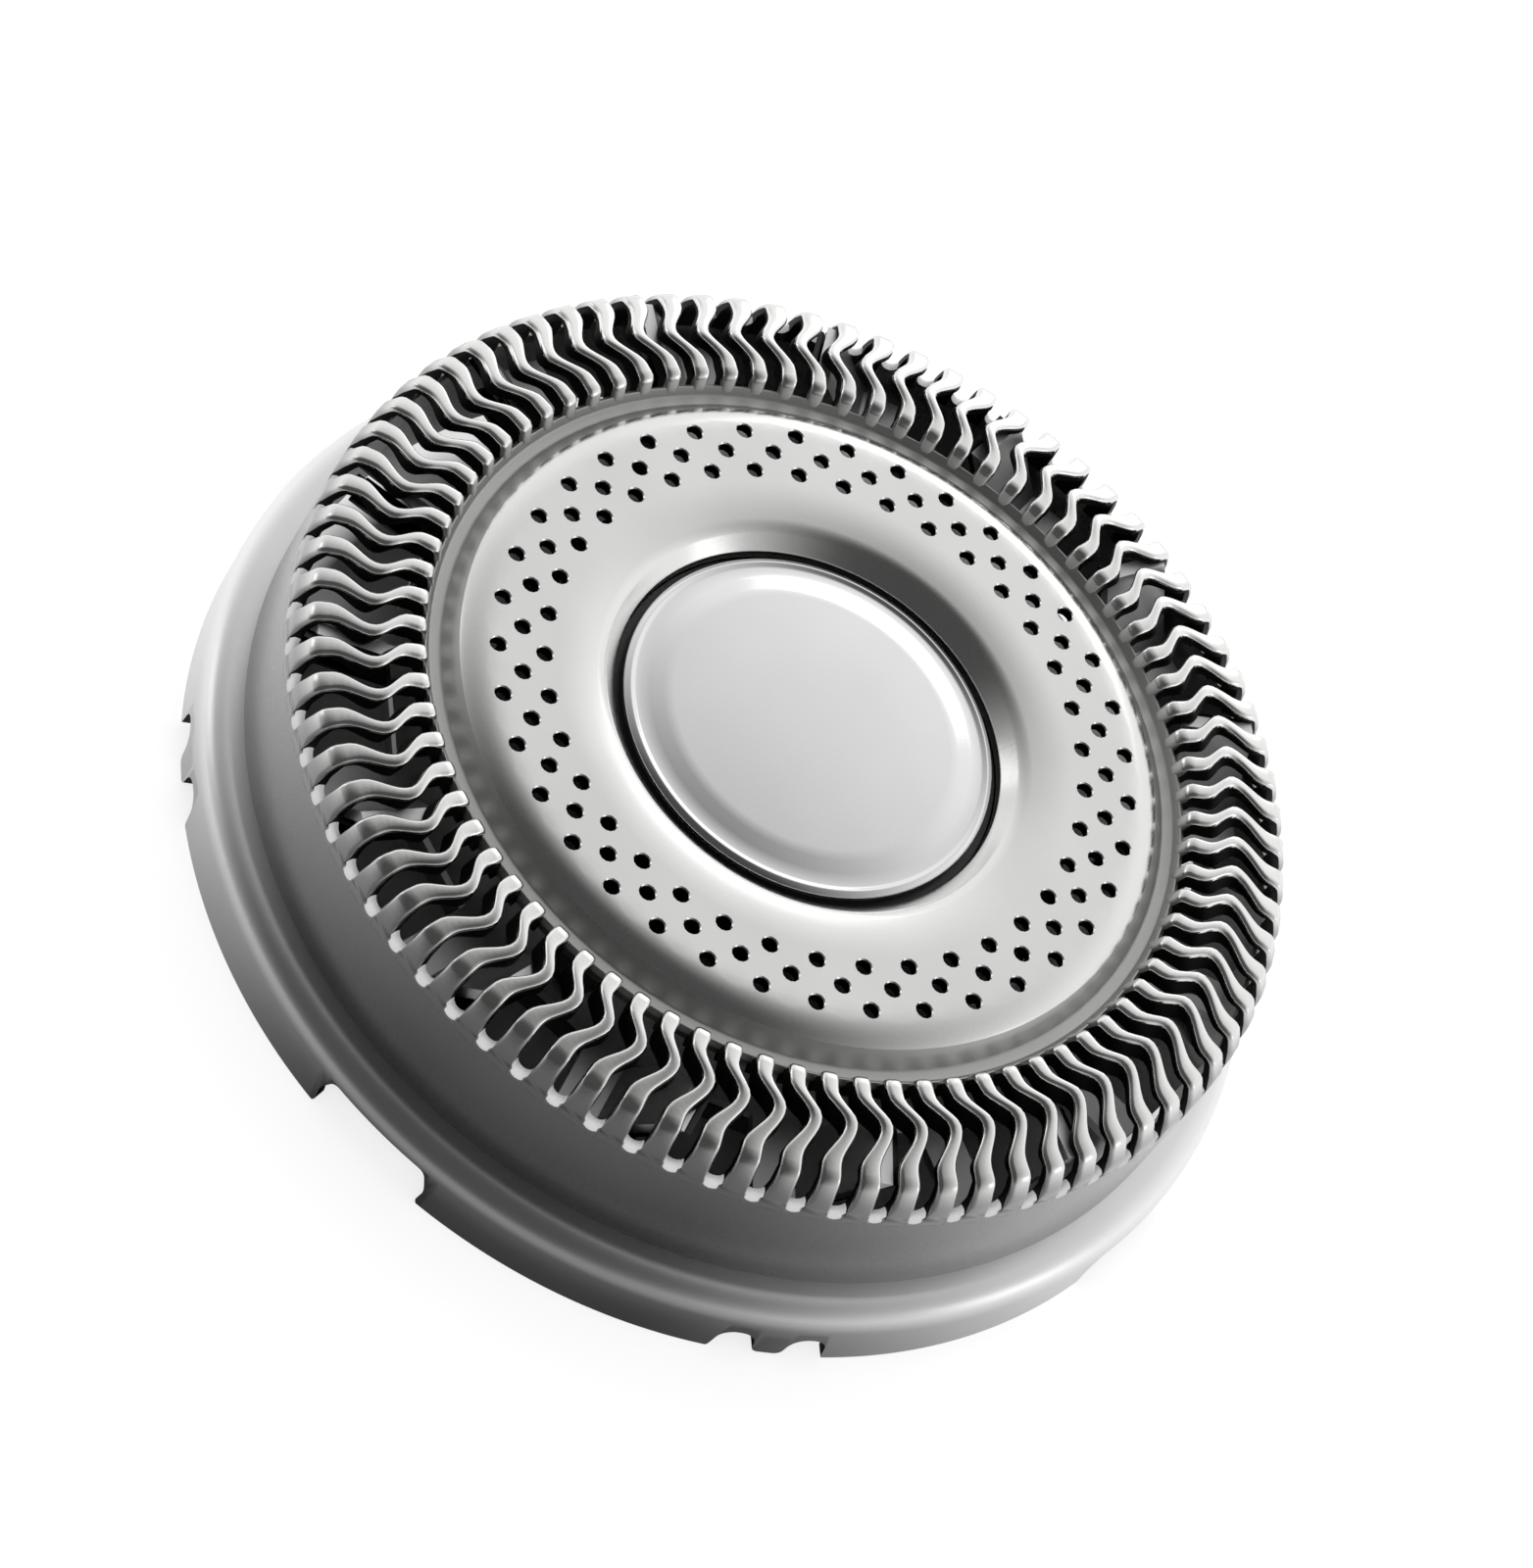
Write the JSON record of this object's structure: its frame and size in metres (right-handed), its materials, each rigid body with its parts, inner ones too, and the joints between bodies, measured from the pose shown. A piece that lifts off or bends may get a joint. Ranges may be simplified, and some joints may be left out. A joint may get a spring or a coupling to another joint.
{
  "type": "rotary shaver head",
  "caption": "Round perforated shaver guard with a raised ring of bent slots, a rimmed cup, a plain centre cap and a turning cutter inside.",
  "frame": {"origin": "centre of the rim plane, on the head's axis", "axes": "+Z out of the shaving face, along the head's axis; -Y towards the first wide rim notch"},
  "size_m": [0.026, 0.026, 0.0061],
  "materials": {
    "guard_steel": "drawn stainless steel, fine satin polish",
    "cap_metal": "bright plated, plain top",
    "boss_plastic": "moulded, dark",
    "blade_steel": "stamped and ground steel",
    "spring_steel": "thin spring steel",
    "carrier_plastic": "moulded, grey"
  },
  "bodies": {
    "head": {"guard": "guard_steel", "centre_cap": "cap_metal", "centre_boss": "boss_plastic"},
    "cutter": {"blade_ring": "blade_steel", "lifter_ring": "spring_steel", "cutter_carrier": "carrier_plastic"}
  },
  "joints": [
    {"name": "cutter_spin", "type": "hinge", "parent": "head", "child": "cutter", "pos_m": [0, 0, 0.0035], "axis": [0, 0, 1], "continuous": true}
  ]
}
